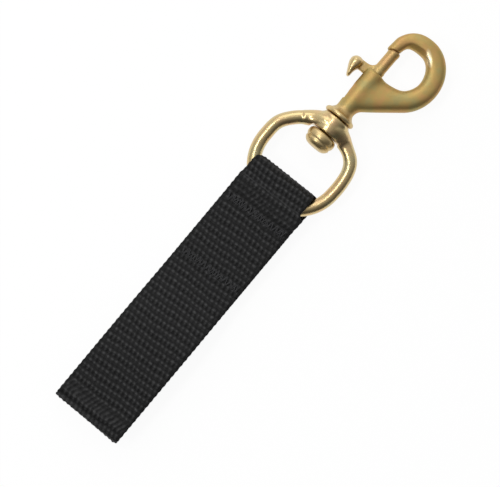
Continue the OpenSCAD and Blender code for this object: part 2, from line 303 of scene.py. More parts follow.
# %% Sections of the bow
def bow_sections(inner, outer, depth, n, plane, fall, columns=64):
    """Closed sections from inner to outer edges.

    Each is a rounded box of power n. On the inner side its height is held under a slanting line,
    which planes the face off over the share of the half width that plane gives, and takes away
    the share of the height that fall gives at the edge.
    """
    phi = np.linspace(0, 2 * np.pi, columns, endpoint=False)
    mid, half = (inner + outer) / 2, (outer - inner) / 2
    u = signed_power(np.cos(phi)[None, :], 2 / n[:, None])
    v = signed_power(np.sin(phi)[None, :], 2 / n[:, None])
    roof = 1 - fall[:, None] * (1 - (u + 1) / np.maximum(plane, NO_PLANE)[:, None])
    v = np.sign(v) * np.minimum(np.abs(v), roof)
    xy = mid[:, None, :] + half[:, None, :] * u[..., None]
    return np.concatenate([xy, (depth[:, None] / 2 * v)[..., None]], -1)


def bow_skin():
    """The bow's skin: web, fan round the throat, and nose, with sections of changing depth.

    The web's inner edge bends through a knee: (1 - t) squared of its root, plus 2t(1 - t) of the
    knee, plus t squared of its end. Its outer edge and both edges of the nose are straight.
    """
    t = np.linspace(0, 1, 40, endpoint=False)[:, None]
    web_in, web_out = inner_edge(np.array([WEB_ANGLE])), outer_edge(np.array([WEB_ANGLE]))
    root_in, root_out = np.array([[0, MOUTH - 0.3]]), np.array([[0, COLLAR_TOP + 0.8]])
    knee = np.array([[web_in[0, 0] - 2, MOUTH - 0.3]])
    inner = [(1 - t) ** 2 * root_in + 2 * t * (1 - t) * knee + t * t * web_in]
    outer = [root_out + (web_out - root_out) * t]
    a = np.linspace(WEB_ANGLE, NOSE_ANGLE, 130)
    inner.append(inner_edge(a))
    outer.append(outer_edge(a))
    s = np.linspace(0, 1, 13)[1:, None]
    nose_in, nose_out = np.array([NOSE_X, SEAT - 0.1]), np.array([NOSE_X - NOSE_W, LIP])
    inner.append(inner[1][-1] + (nose_in - inner[1][-1]) * s)
    outer.append(outer[1][-1] + (nose_out - outer[1][-1]) * ease(s / 2 + 0.5) * s)
    web_count, nose_count = len(t), len(s)
    turn = ease((a - 90) / 60)
    depth = np.concatenate([
        np.linspace(7.0, BOW_DEPTH, web_count),
        BOW_DEPTH + (NOSE_DEPTH - BOW_DEPTH) * turn,
        np.full(nose_count, NOSE_DEPTH)])
    power = np.concatenate([
        np.linspace(2.5, 2.3, web_count),
        2.3 + 0.6 * ease((a - WEB_ANGLE) / 80),
        np.full(nose_count, 2.6)])
    plane_width = 2.1 * ease((a - 15) / 40) * (1 - ease((a - 120) / 24))
    plane = np.concatenate([
        np.full(web_count, NO_PLANE), plane_width / (BOW_W / 2), np.full(nose_count, NO_PLANE)])
    steep = 0.24 + 0.4 * ease((a - 72) / 26)
    fall = np.concatenate([np.full(web_count, 0.24), steep, np.full(nose_count, 0.6)])
    return ring_skin(bow_sections(np.vstack(inner), np.vstack(outer), depth, power, plane, fall))


# %% [markdown]
# ## The cast body
#
# Head, shank, collar, neck and barrel share one axis, so a profile turned about it makes each
# of them. Barrel and bow are fused first and tumbled hard where they meet, so the barrel melts
# into the web as in the photograph. Then the collar and head join, and the machining follows:
# the barrel is bored, the lever's slot milled, and the seat for the bolt's tip sunk into the nose.

# %% Cast the barrel and bow
barrel_profile = [
    (COLLAR_TOP - 0.5, 0.0), (COLLAR_TOP - 0.5, 3.3), (COLLAR_TOP + 3.0, 3.4),
    (COLLAR_TOP + 6.0, 3.6), (COLLAR_TOP + 10.0, 3.85), (MOUTH - 1.2, 3.9), (MOUTH - 0.4, 3.75),
    (MOUTH, 3.3), (MOUTH, 0.0)]


def near_web(points):
    """One in the hollow between barrel and web, falling to a small share away from it."""
    reach = bell(points[:, 0], 3.0, 3.2)
    return 0.10 + 0.90 * reach * ease((MOUTH + 1.5 - points[:, 1]) / 5)


hook_cast = mesh_object("hook_cast", [turned(barrel_profile), bow_skin()])
tumbled(hook_cast, 0.2, 150, near_web)
print("barrel and bow faces:", len(hook_cast.data.polygons))

# %% Join the collar and head
swivel_profile = [
    (HEAD_LOW, 0.0), (HEAD_LOW, 2.6), (HEAD_LOW + 0.3, 3.5), (HEAD_LOW + 1.0, 4.3),
    (HEAD_LOW + 1.8, 4.75), (HEAD_LOW + 2.1, 4.5), (HEAD_LOW + 2.3, 4.5), (HEAD_LOW + 2.7, 4.95),
    (HEAD_LOW + 3.4, 5.15), (HEAD_TOP - 1.2, 5.15), (HEAD_TOP - 0.4, 4.8), (HEAD_TOP, 4.2),
    (HEAD_TOP, SHANK_R), (COLLAR_LOW, SHANK_R), (COLLAR_LOW, 5.1), (COLLAR_LOW + 0.3, 5.5),
    (COLLAR_LOW + 0.8, 5.62), (COLLAR_LOW + 1.3, 5.5), (COLLAR_LOW + 1.65, 5.05),
    (COLLAR_LOW + 1.8, 4.6), (COLLAR_LOW + 2.2, 4.15), (COLLAR_LOW + 2.9, 3.55),
    (COLLAR_LOW + 4.0, 3.1), (COLLAR_LOW + 4.0, 0.0)]
collar_cast = mesh_object("collar_cast", [turned(swivel_profile)])
join = hook_cast.modifiers.new("join", "BOOLEAN")
join.operation = "UNION"
join.solver = "EXACT"
join.object = collar_cast
applied(hook_cast)
bpy.data.objects.remove(collar_cast)
tumbled(hook_cast, 0.18, 5)

# %% Machine the casting
# The last tumbling draws the bore's wall in, so the bore is cut wider by a spare width.
BORE_SPARE = 0.12
SLOT_LOW, SLOT_HALF = ARM_Y - ARM_HALF - TRAVEL - 0.5, 1.45
cut(hook_cast,
    turned([(BORE_LOW, BORE_R + BORE_SPARE), (MOUTH + 1.2, BORE_R + BORE_SPARE)]),
    turned([(LIP - 1.5, BORE_R), (SEAT, BORE_R)]),
    block((-8, SLOT_LOW, -SLOT_HALF), (0, MOUTH + 1, SLOT_HALF)))
tumbled(hook_cast, 0.185, 3)
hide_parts("hook_body")
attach(hook_cast, "hook")
print("hook_cast faces:", len(hook_cast.data.polygons))

# %% [markdown]
# ## The bolt and its thumb lever
#
# The bolt is a plain rod with a hub where the lever leaves it. The lever's arm passes through
# the slot and spreads into a pad: full at the top where the thumb pushes, and drawn out to a
# thin point beside the barrel. Its front and back are full and round.

# %% Shape the lever's arm
ARM_COLS, PAD_COLS = 32, 56


def arm_skin():
    """The arm: sections across X, each a rounded box in Y and Z.

    Its upper and lower lines leave the bolt with a foot that dies away as a power of e, and the
    lower one swells into the pad along half a cosine wave squared.
    """
    x = np.linspace(0, -6.8, 40)
    foot = 1.6 * np.exp(-np.maximum(-x - BOLT_R, 0) / 0.9)
    armpit = 1.5 * ease((-x - 4.9) / 1.9) ** 2
    top, low = ARM_Y + ARM_HALF + foot, ARM_Y - ARM_HALF - armpit
    phi = np.linspace(0, 2 * np.pi, ARM_COLS, endpoint=False)
    u, v = signed_power(np.cos(phi), 0.7), signed_power(np.sin(phi), 0.7)
    points = np.stack([
        np.repeat(x[:, None], ARM_COLS, 1),
        ((top + low) / 2)[:, None] + ((top - low) / 2)[:, None] * u,
        np.repeat(1.2 * v[None], len(x), 0)], -1)
    return ring_skin(points)


# %% Shape the lever's pad
def pad_skin():
    """The pad: sections across Y between its two side lines, each a rounded box in X and Z.

    The side lines run straight between a few places down the pad, and the tumbling rounds them
    off. Its depth is full at the crown and falls to the point.
    """
    down = np.array([0.0, 0.2, 0.65, 1.4, 2.0, 3.2, 4.4, 5.2, 6.2, 6.9, 7.3, 7.5])
    left = np.array([7.6, 8.5, 9.15, 9.65, 9.8, 9.65, 9.1, 8.65, 8.1, 7.75, 7.45, 7.1])
    right = np.array([7.2, 6.5, 5.9, 5.5, 5.4, 5.6, 6.1, 6.3, 6.35, 6.35, 6.5, 6.8])
    t = ease(np.linspace(0, 1, 70))
    d = t * down[-1]
    outer, inner = -np.interp(d, down, left), -np.interp(d, down, right)
    depth = 3.05 * (1 - 0.3 * ease((d - 2.2) / 5.0)) * np.sqrt(np.clip(d / 1.5, 0.08, 1)) \
        * np.sqrt(np.clip((7.9 - d) / 1.2, 0.1, 1))
    phi = np.linspace(0, 2 * np.pi, PAD_COLS, endpoint=False)
    u, v = signed_power(np.cos(phi), 0.8), signed_power(np.sin(phi), 0.8)
    points = np.stack([
        ((outer + inner) / 2)[:, None] + ((inner - outer) / 2)[:, None] * u,
        np.repeat((ARM_Y + ARM_HALF + 0.12 - d)[:, None], PAD_COLS, 1),
        depth[:, None] * v], -1)
    return ring_skin(points)


# %% Turn the bolt and fuse the lever to it
bolt_profile = [
    (TIP - BOLT_L, 0.0), (TIP - BOLT_L, 1.9), (TIP - BOLT_L + 0.3, BOLT_R),
    (MOUTH - 0.6, BOLT_R - 0.05),
    (MOUTH + 0.2, BOLT_R + 0.1), (MOUTH + 1.2, BOLT_R + 0.1), (MOUTH + 1.7, BOLT_R - 0.05),
    (TIP - 2.1, BOLT_R - 0.05), (TIP - 1.2, BOLT_R + 0.08), (TIP - 0.5, BOLT_R + 0.05),
    (TIP - 0.1, 1.8), (TIP, 1.4), (TIP, 0.0)]
bolt_brass = mesh_object("bolt_brass", [turned(bolt_profile, 64), arm_skin(), pad_skin()])
tumbled(bolt_brass, 0.12, 14)
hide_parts("bolt")
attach(bolt_brass, "bolt")
print("bolt_brass faces:", len(bolt_brass.data.polygons))

# %% [markdown]
# ## The swivel eye
#
# The eye is a round rod bent to a ring that swells into a broad saddle, where it is bored for
# the shank. The saddle stands a little proud of the rod, with a soft step on each shoulder. The
# real eye is a bit lopsided, and two hills in the formula push its shoulders out as far.

# %% Bend the eye
def eye_skin():
    """Sections round the eye: a circle that swells to the saddle's tall, deep oval at the top.

    The middle of each section runs on two half circles joined by short straights, and bulges
    as two bell curves of the angle, more on the right shoulder. The saddle stands a little proud
    of the rod on a plateau that ends in a small step on each shoulder.
    """
    upper, lower = 241, 121
    a = np.radians(np.concatenate([np.linspace(0, 180, upper), np.linspace(180, 360, lower)]))
    lift = np.where(np.arange(len(a)) < upper, 0.0, -EYE_STRAIGHT)
    off = np.degrees(a) - 90
    bulge = 1.4 * bell(off, -50, 22) + 0.4 * bell(off, 70, 14)
    rise = ease((40 - np.abs(off)) / 36)
    plateau = ease((off + 28) / 4) * (1 - ease((off - 36) / 3))
    half_r = ROD_R + 1.2 * rise + 0.1 * plateau
    half_z = ROD_R + 2.4 * ease((33 - np.abs(off)) / 28) + 0.4 * plateau
    mid = EYE_R + (BOSS_TOP - 3.1 - EYE_R) * rise + bulge
    phi = np.linspace(0, 2 * np.pi, 56, endpoint=False)
    r = mid[:, None] + half_r[:, None] * np.cos(phi)
    points = np.stack([r * np.cos(a)[:, None], lift[:, None] + r * np.sin(a)[:, None],
                       half_z[:, None] * np.sin(phi)], -1)
    return ring_skin(points, endless=True)


# %% Bore its boss
boss_profile = [
    (BOSS_LOW - 0.2, 0.0), (BOSS_LOW - 0.2, 4.6), (BOSS_LOW + 0.3, 5.2), (BOSS_LOW + 1.5, 5.3),
    (BOSS_TOP - 1.0, 5.3), (BOSS_TOP - 0.2, 5.1), (BOSS_TOP, 4.6), (BOSS_TOP, 0.0)]
eye_cast = mesh_object("eye_cast", [eye_skin(), turned(boss_profile)])
tumbled(eye_cast, 0.2, 5)
cut(eye_cast,
    turned([(BOSS_LOW - 3, SHANK_R + 0.08), (BOSS_TOP + 3, SHANK_R + 0.08)]),
    block((-9, BOSS_TOP, -8), (9, BOSS_TOP + 3, 8)),
    turned([(BOSS_LOW - 4, 5.8), (BOSS_LOW, 5.8)]))
tumbled(eye_cast, 0.19, 2)
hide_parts("swivel_eye")
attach(eye_cast, "eye_and_strap")
print("eye_cast faces:", len(eye_cast.data.polygons))

# %% [markdown]
# ## The spring
#
# The spring shows through the slot in the barrel's side. It is a round wire carried along a
# helix, with its end turns a little closer together.

# %% Coil the spring
def spring_skin(turns=6.0, wire=0.25, coil=1.78):
    """A round section carried along a helix that climbs by t less a small sine of t."""
    t = np.linspace(0, 1, 400)
    a = 2 * np.pi * turns * t
    low, high = BORE_LOW + wire + 0.05, TIP - BOLT_L - wire - 0.25
    climb = t - 0.035 * np.sin(2 * np.pi * t)
    y = low + (high - low) * climb
    phi = np.linspace(0, 2 * np.pi, 10, endpoint=False)
    r = coil + wire * np.cos(phi)[None]
    points = np.stack([r * np.cos(a)[:, None], y[:, None] + wire * np.sin(phi)[None],
                       -r * np.sin(a)[:, None]], -1)
    return ring_skin(points)


spring_wire = mesh_object("spring_wire", [spring_skin()])
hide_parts("bolt_spring")
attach(spring_wire, "hook")
print("spring_wire faces:", len(spring_wire.data.polygons))

# %% [markdown]
# ## The path of the webbing
#
# One length of webbing makes the whole strap. Its first end lies between the two others where
# it is sewn. From there it runs down the back of the belt loop, round the far fold, up the
# front, over the eye's rod, round the fold in the eye and down the back to its second end.
# We write that as a path in Y and Z, and walk it in even steps.

# %% Sizes of the strap
WEB_T, WEB_HALF, ROD_GAP = 1.6, 12.7, 0.3
STRAP_TOP, FOLD_TOP, STRAP_L = -6.2, -5.7, 104.0
SEWN_DOWN, SEWN_L = 13.6, 27.0
END_GAP, LOOP_GAP = 6.0, 8.0
FOLD_R = ROD_R + ROD_GAP + WEB_T / 2
FOLD_Y = FOLD_TOP - WEB_T / 2 - FOLD_R
OVER_ROD = -(EYE_STRAIGHT + EYE_R + ROD_R + ROD_GAP)
SEWN_START = STRAP_TOP - WEB_T - SEWN_DOWN
SEWN_END = SEWN_START - SEWN_L
END_R = END_GAP / 2 + WEB_T / 2
END_Y = STRAP_TOP - STRAP_L + END_R + WEB_T / 2
BELLY = LOOP_GAP / 2 + WEB_T / 2
STRAP_LEAN = math.radians(0.7)
print("sewn from", round(SEWN_START, 1), "to", round(SEWN_END, 1))

# %% Lay out the webbing's path
def layer_height(y, sewn, rise=0.45):
    """Height of the webbing's middle over the strap's middle plane, at one place along it.

    Where it is sewn, a layer keeps its height. Below, half a cosine wave lifts it to the loop's
    belly and a second one lowers it to the end fold. Past the rod, a third brings the front and
    back layers out to the fold in the eye.
    """
    t = (SEWN_END - y) / (SEWN_END - END_Y)
    loop = np.where(t < rise, sewn + (BELLY - sewn) * ease(t / rise),
                    BELLY + (END_R - BELLY) * ease((t - 0.6) / 0.4))
    slope = (FOLD_R - WEB_T) * (1 - ease((OVER_ROD + 2.6 - y) / 7.8)) * (sewn > 0)
    return np.where(y < SEWN_END, loop, sewn + slope)


def webbing_path():
    """The path's points (Y, Z), close together, and the length walked up to each of them."""
    down = np.linspace(SEWN_START - 0.4, END_Y, 400)
    up = np.linspace(END_Y, FOLD_Y, 500)
    back = np.linspace(FOLD_Y, SEWN_END - 1.4, 300)
    far = np.radians(np.linspace(-90, -270, 90))
    near = np.radians(np.linspace(90, -90, 90))
    parts = [
        np.stack([down, -layer_height(down, 0.0, 0.4)], -1),
        np.stack([END_Y + END_R * np.cos(far), END_R * np.sin(far)], -1),
        np.stack([up, layer_height(up, WEB_T)], -1),
        np.stack([FOLD_Y + FOLD_R * np.cos(near), FOLD_R * np.sin(near)], -1),
        np.stack([back, -layer_height(np.maximum(back, SEWN_END + 0.01), WEB_T)], -1)]
    points = np.vstack(parts)
    gaps = np.linalg.norm(np.diff(points, axis=0), axis=1)
    points = points[np.concatenate([[True], gaps > 1e-6])]
    steps = np.linalg.norm(np.diff(points, axis=0), axis=1)
    return points, np.concatenate([[0], np.cumsum(steps)])


path_points, path_walked = webbing_path()
WEB_LENGTH = path_walked[-1]
print("webbing cut to", round(WEB_LENGTH, 1), "mm")

# %% [markdown]
# ## Weaving it
#
# Heavy webbing shows rows of beads, each one a warp thread passing over a weft. The rows are
# about 2.2 mm apart. Under every other row the threads part and leave dark slots, and under the
# rows between they close up. Where the strap is folded, the threads are pulled long and lie
# aslant, and above the first bar tack two wefts are pulled tight and show as pale lines. The
# height of the weave is a function of the place along and across the webbing, added to the mesh
# itself.

# %% The weave as a height
ROW, BUMP = 2.16, 1.64
ROW_SLOPE = math.tan(math.radians(3.0))
WEAVE_H = 0.5
TIGHT_WEFTS = ((-14.4, 0.66), (-19.3, 0.5))
FACE_COLS, BACK_COLS = 77, 33


def weave_height(along, across, long_share, slots):
    """Height of the weave, from 0 in the grooves to 1 on a bead.

    Each row is a hill of beads near its upper edge and a lower hill under it. The second hill is
    combed into legs in odd rows, and as much in the others as slots gives. The rows waver as a
    slow sine, and beads differ a little, by a product of two fast sines of their row and place.
    long_share turns two rows at a time into long slanting strands.
    """
    row = along / ROW + 0.07 * np.sin(0.33 * across + 0.21 * along)
    row = row + 0.04 * np.sin(1.1 * across + 0.9 * along)
    number = np.floor(row)
    odd, part = number % 2, row - number
    place = across / BUMP + 0.5 * odd + 0.32 * (part - 0.5)
    place = place + 0.16 * np.sin(0.83 * number + 0.21 * across)
    comb = np.sin(np.pi * place) ** 2
    bead = np.floor(place)
    lot = np.sin(12.9 * number + 78.2 * bead) * np.sin(5.3 * number - 31.7 * bead)
    beads = bell(part, 0.68, 0.25) * (0.36 + 0.50 * comb + 0.14 * lot)
    combed = np.maximum(odd, np.maximum(0.35, slots))
    legs = bell(part, 0.32, 0.26) * (0.36 + combed * (0.62 * comb - 0.40))
    pair = row / 2 - np.floor(row / 2)
    strand = np.sin(np.pi * (across / BUMP - (pair - 0.5) + 0.2 * np.sin(0.5 * across))) ** 2
    strands = (0.18 + 0.56 * strand + 0.1 * lot) * (0.35 + 0.65 * np.sin(np.pi * pair) ** 0.6)
    return np.maximum(beads, legs) * (1 - long_share) + strands * long_share


# %% Sweep the webbing along its path
def leaned(points):
    """Turns points by the strap's lean about the middle of the eye's rod."""
    c, s = math.cos(STRAP_LEAN), math.sin(STRAP_LEAN)
    x, y = points[..., 0], points[..., 1] + EYE_R
    return np.stack([c * x - s * y, s * x + c * y - EYE_R, points[..., 2]], -1)


def strap_skin():
    """The webbing swept along its path, and the height of the weave at each point.

    A section runs across the face, round one selvedge, back across the other face and round the
    second selvedge. Its faces are lifted by the weave, and it leans about the eye's rod.
    """
    count = int(WEB_LENGTH / (ROW / 6)) + 1
    walk = np.linspace(0, WEB_LENGTH, count)
    yz = np.stack([np.interp(walk, path_walked, path_points[:, i]) for i in (0, 1)], -1)
    way = np.gradient(yz, axis=0)
    way[1:-1] = way[:-2] + way[1:-1] + way[2:]
    way /= np.linalg.norm(way, axis=1)[:, None]
    out = np.stack([-way[:, 1], way[:, 0]], -1)

    face, back = np.linspace(-1, 1, FACE_COLS), np.linspace(1, -1, BACK_COLS)
    side = np.concatenate([face, np.ones(3), back, -np.ones(3)])
    high = np.concatenate([np.ones(FACE_COLS), [0.5, 0, -0.5], -np.ones(BACK_COLS), [-0.5, 0, 0.5]])
    round_edge = [0.12, 0.2, 0.12]
    bulge = np.concatenate([np.zeros(FACE_COLS), round_edge, np.zeros(BACK_COLS), round_edge])

    y, z = yz[:, 0], yz[:, 1]
    in_eye = bell(np.maximum(np.abs(z) - 0.4, 0), 0, 1.5) * ease((y - FOLD_Y + 1) / 3)
    upper = ease((y + 15.2) / 1.6) * (z > 0)
    half = WEB_HALF - 0.1 - 1.0 * upper - 1.25 * in_eye
    half = half + 0.16 * np.sin(np.pi * walk / ROW) ** 2
    middle = -0.7 * upper * (1 - in_eye) + 0.3 * ease((y + 20) / 4) * (z < 0)

    x = middle[:, None] + half[:, None] * side[None] + bulge[None] * side[None]
    long_share = 0.4 * ease((y + 22.3) / 1.2) * ease((-15.8 - y) / 1.0)
    long_share = long_share + 0.7 * ease((-101 - y) / 1.2) * ease((y + 105.9) / 1.2)
    slots = ease((y + 21) / 1.5) + ease((-104.5 - y) / 1.5)
    weave = weave_height(walk[:, None] - x * ROW_SLOPE, x, long_share[:, None], slots[:, None])
    level = y[:, None] - x * ROW_SLOPE
    for place, height in TIGHT_WEFTS:
        weave = np.maximum(weave, height * bell(level, place, 0.28))
    weave = weave * (1 - 0.6 * ease((np.abs(side) - 0.91) / 0.06))
    away = high[None] * (WEB_T / 2 - WEAVE_H * (1 - weave))
    hang = 0.026 * x * ease((y[:, None] + 14) / 6)
    points = np.stack([
        x, y[:, None] + hang + out[:, :1] * away, z[:, None] + out[:, 1:] * away], -1)
    return ring_skin(leaned(points)), weave


# %% Weave the webbing
strap_surface, strap_weave = strap_skin()
webbing = mesh_object("webbing", [strap_surface])
weave_mark = webbing.data.attributes.new("weave", "FLOAT", "POINT")
weave_values = np.concatenate([strap_weave.ravel(), [0.5, 0.5]])
weave_mark.data.foreach_set("value", weave_values.astype(np.float32))
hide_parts("webbing_strap")
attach(webbing, "eye_and_strap")
print("webbing faces:", len(webbing.data.polygons))

# %% [markdown]
# ## The bar tacks
#
# Two bar tacks hold the layers: a thread sewn to and fro across the strap in a tight zigzag,
# seen on the front and on the back. On each side a tack is two thin tubes, carried along
# zigzags of different pitch that dip into the webbing at their turns, so they look crowded.

# %% Sew the bar tacks
TACK_HALF = 11.3


def tack_skin(y_mid, up, turns, wire=0.26):
    """A tube along a zigzag: across by a steady walk, up and down by a triangle wave.

    The wave's height wavers by a slow sine, as a hand-guided machine leaves it, and its turns
    sink into the webbing by the wave's fourth power.
    """
    t = np.linspace(0, 1, turns * 12 + 1)
    x = -TACK_HALF + 2 * TACK_HALF * t
    wave = 2 * np.abs(2 * ((t * turns / 2) % 1) - 1) - 1
    y = y_mid + (1.35 + 0.25 * np.sin(9 * t * turns / 7)) * wave + x * ROW_SLOPE
    z = up * (layer_height(y, WEB_T) + WEB_T / 2 - 0.12 - 0.35 * np.abs(wave) ** 4)
    way = np.stack([np.gradient(x), np.gradient(y)], -1)
    way /= np.linalg.norm(way, axis=1)[:, None]
    phi = np.linspace(0, 2 * np.pi, 8, endpoint=False)
    px = x[:, None] - way[:, 1:] * wire * np.cos(phi)
    py = y[:, None] + way[:, :1] * wire * np.cos(phi)
    pz = z[:, None] + wire * np.sin(phi)
    return ring_skin(leaned(np.stack([px, py, pz], -1)))


tacks = [tack_skin(y, up, turns) for y in (SEWN_START - 1.6, SEWN_END + 2.3)
         for up in (1, -1) for turns in (21, 26)]
tack_thread = mesh_object("tack_thread", tacks)
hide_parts("stitching")
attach(tack_thread, "eye_and_strap")
print("tack_thread faces:", len(tack_thread.data.polygons))

# %% [markdown]
# ## Brass
#
# The hook is a satin casting: a clear metal colour with faint warmer and greener patches where
# it has begun to tarnish, and a fine tumbled grain that breaks up the reflections. The collar
# and head and the lever's pad are rubbed paler and smoother by use, and the eye's rod is
# smoother all over. A stripe inside the bow is a painted highlight: a pale tone, with a smoother
# roughness. Blender's Pointiness output could find worn edges by itself, but what it finds
# depends on how dense the mesh is, so the masks are plain places on the piece.
# Everything is read from the object's own coordinates, so it stays put.

# %% Helpers for node trees
def add(tree, kind, **inputs):
    """Adds a node and sets its inputs, by name or as i and a number. A (node, socket) is linked."""
    node = tree.nodes.new(kind)
    for key, value in inputs.items():
        by_number = key[0] == "i" and key[1:].isdigit()
        socket = node.inputs[int(key[1:]) if by_number else key.replace("_", " ")]
        if isinstance(value, tuple) and len(value) == 2 and hasattr(value[0], "outputs"):
            tree.links.new(value[0].outputs[value[1]], socket)
        else:
            socket.default_value = value
    return node


def new_material(name):
    """A material with a shader wired to its output, and a node for the object's coordinates."""
    material = bpy.data.materials.new(name)
    material.use_nodes = True
    tree = material.node_tree
    tree.nodes.clear()
    shader = tree.nodes.new("ShaderNodeBsdfPrincipled")
    output = tree.nodes.new("ShaderNodeOutputMaterial")
    tree.links.new(shader.outputs[0], output.inputs[0])
    where = tree.nodes.new("ShaderNodeTexCoord")
    return material, tree, shader, where


def ramp(tree, source, stops):
    """A colour ramp over a value, from stops of (place, (r, g, b))."""
    node = tree.nodes.new("ShaderNodeValToRGB")
    elements = node.color_ramp.elements
    while len(elements) < len(stops):
        elements.new(0.5)
    for element, (place, colour) in zip(elements, stops):
        element.position = place
        element.color = (*colour, 1)
    tree.links.new(source, node.inputs[0])
    return node


# %% Satin brass
# Worn places and the painted highlight each get a tone and a change to the roughness.
WORN = ((0.71, 0.54, 0.27, 1), -0.17)
# A pale tone painted in as a highlight, with a smoother roughness.
PAINTED_HIGHLIGHT = ((0.90, 0.76, 0.48, 1), -0.20)


def brass(name, light, warm, green, rough, worn=None, highlight_oval=None):
    """Satin brass, smoother and paler where it is worn, with a painted highlight where one is
    given.

    worn gives an axis and a place along it, in metres, below which the piece is worn. The last
    argument gives the middle, turn and half lengths of an oval patch painted pale as a highlight,
    and made smoother there. Each mask mixes in its own tone and adds its share of a change to the
    roughness.
    """
    material, tree, shader, where = new_material(name)
    spot = (where, "Object")
    patches = add(tree, "ShaderNodeTexNoise", Vector=spot, Scale=230.0, Detail=4.0, Roughness=0.55)
    grain = add(tree, "ShaderNodeTexNoise", Vector=spot, Scale=2600.0, Detail=3.0, Roughness=0.6)
    colour = ramp(tree, patches.outputs["Fac"], [(0.34, green), (0.5, light), (0.66, warm)])
    spread = add(tree, "ShaderNodeMapRange", Value=(grain, "Fac"), i3=rough - 0.06, i4=rough + 0.08)
    tint, gloss = (colour, 0), (spread, 0)
    masks = []
    if worn:
        axis, edge = worn
        place = add(tree, "ShaderNodeSeparateXYZ", i0=spot)
        share = add(tree, "ShaderNodeMapRange", Value=(place, axis), i1=edge + 0.002,
                    i2=edge - 0.002)
        masks.append((share, *WORN))
    # The oval is a painted highlight: a pale tone and a smoother roughness.
    if highlight_oval:
        middle, turn, half = highlight_oval
        oval = add(tree, "ShaderNodeMapping", Vector=spot)
        oval.vector_type = "TEXTURE"
        oval.inputs["Location"].default_value = middle
        oval.inputs["Rotation"].default_value = (0, 0, turn)
        oval.inputs["Scale"].default_value = half
        reach = add(tree, "ShaderNodeVectorMath", i0=(oval, 0))
        reach.operation = "LENGTH"
        share = add(tree, "ShaderNodeMapRange", Value=(reach, "Value"), i1=1.15, i2=0.6)
        masks.append((share, *PAINTED_HIGHLIGHT))
    for share, pale, smooth in masks:
        paler = add(tree, "ShaderNodeMix")
        paler.data_type = "RGBA"
        tree.links.new(share.outputs[0], paler.inputs[0])
        tree.links.new(tint[0].outputs[tint[1]], paler.inputs[6])
        paler.inputs[7].default_value = pale
        tint = (paler, 2)
        smoother = add(tree, "ShaderNodeMath", i0=(share, 0), i1=smooth, i2=gloss)
        smoother.operation = "MULTIPLY_ADD"
        gloss = (smoother, 0)
    tree.links.new(tint[0].outputs[tint[1]], shader.inputs["Base Color"])
    tree.links.new(gloss[0].outputs[gloss[1]], shader.inputs["Roughness"])
    bump = add(tree, "ShaderNodeBump", Strength=0.10, Distance=0.0001, Height=(grain, "Fac"))
    wave = add(tree, "ShaderNodeTexNoise", Vector=spot, Scale=420.0, Detail=2.0)
    swell = add(tree, "ShaderNodeBump", Strength=0.25, Distance=0.0003, Height=(wave, "Fac"),
                Normal=(bump, 0))
    tree.links.new(swell.outputs[0], shader.inputs["Normal"])
    shader.inputs["Metallic"].default_value = 1.0
    return material


# %% Put the brass on
# The oval in the last argument is a painted highlight on the plane inside the bow.
cast_brass = brass(
    "cast_brass", (0.585, 0.413, 0.149), (0.635, 0.394, 0.158), (0.50, 0.413, 0.171), 0.55,
    ("Y", 0.0215), ((0.0098, 0.0525, 0.003), -0.72, (0.0030, 0.0009, 0.004)))
rod_brass = brass("rod_brass", (0.70, 0.54, 0.27), (0.72, 0.50, 0.27), (0.62, 0.53, 0.30), 0.28)
hook_cast.data.materials.append(cast_brass)
eye_cast.data.materials.append(rod_brass)
turned_brass = brass(
    "turned_brass", (0.65, 0.46, 0.19), (0.68, 0.43, 0.19), (0.58, 0.46, 0.21), 0.50,
    ("X", -0.006))
bolt_brass.data.materials.append(turned_brass)
print("brass on:", [o.name for o in (hook_cast, eye_cast, bolt_brass)])

# %% [markdown]
# ## Steel, webbing and thread
#
# The webbing is near black and matt. Its yarns are bundles of fine filaments, so the colour
# shifts a little from bundle to bundle and a fine streak runs along each one. Deep between its
# threads real webbing is darker than this shallow relief would shade by itself, so shade is
# painted into the grooves: the height of the weave, kept on the mesh as an attribute, darkens
# the yarn's colour there.

# %% Spring steel
steel, tree, shader, where = new_material("spring_steel")
scuff = add(tree, "ShaderNodeTexNoise", Vector=(where, "Object"), Scale=1800.0, Detail=2.0)
tone = ramp(tree, scuff.outputs["Fac"], [(0.3, (0.36, 0.36, 0.35)), (0.7, (0.56, 0.56, 0.54))])
tree.links.new(tone.outputs[0], shader.inputs["Base Color"])
shader.inputs["Metallic"].default_value = 1.0
shader.inputs["Roughness"].default_value = 0.32
spring_wire.data.materials.append(steel)
print("steel on:", spring_wire.name)

# %% Yarn for webbing and thread
# Painted shade: how much the yarn's colour is darkened at each height of the weave.
GROOVE_SHADE = ((0.05, 0.06), (0.4, 0.36), (0.75, 1.0))


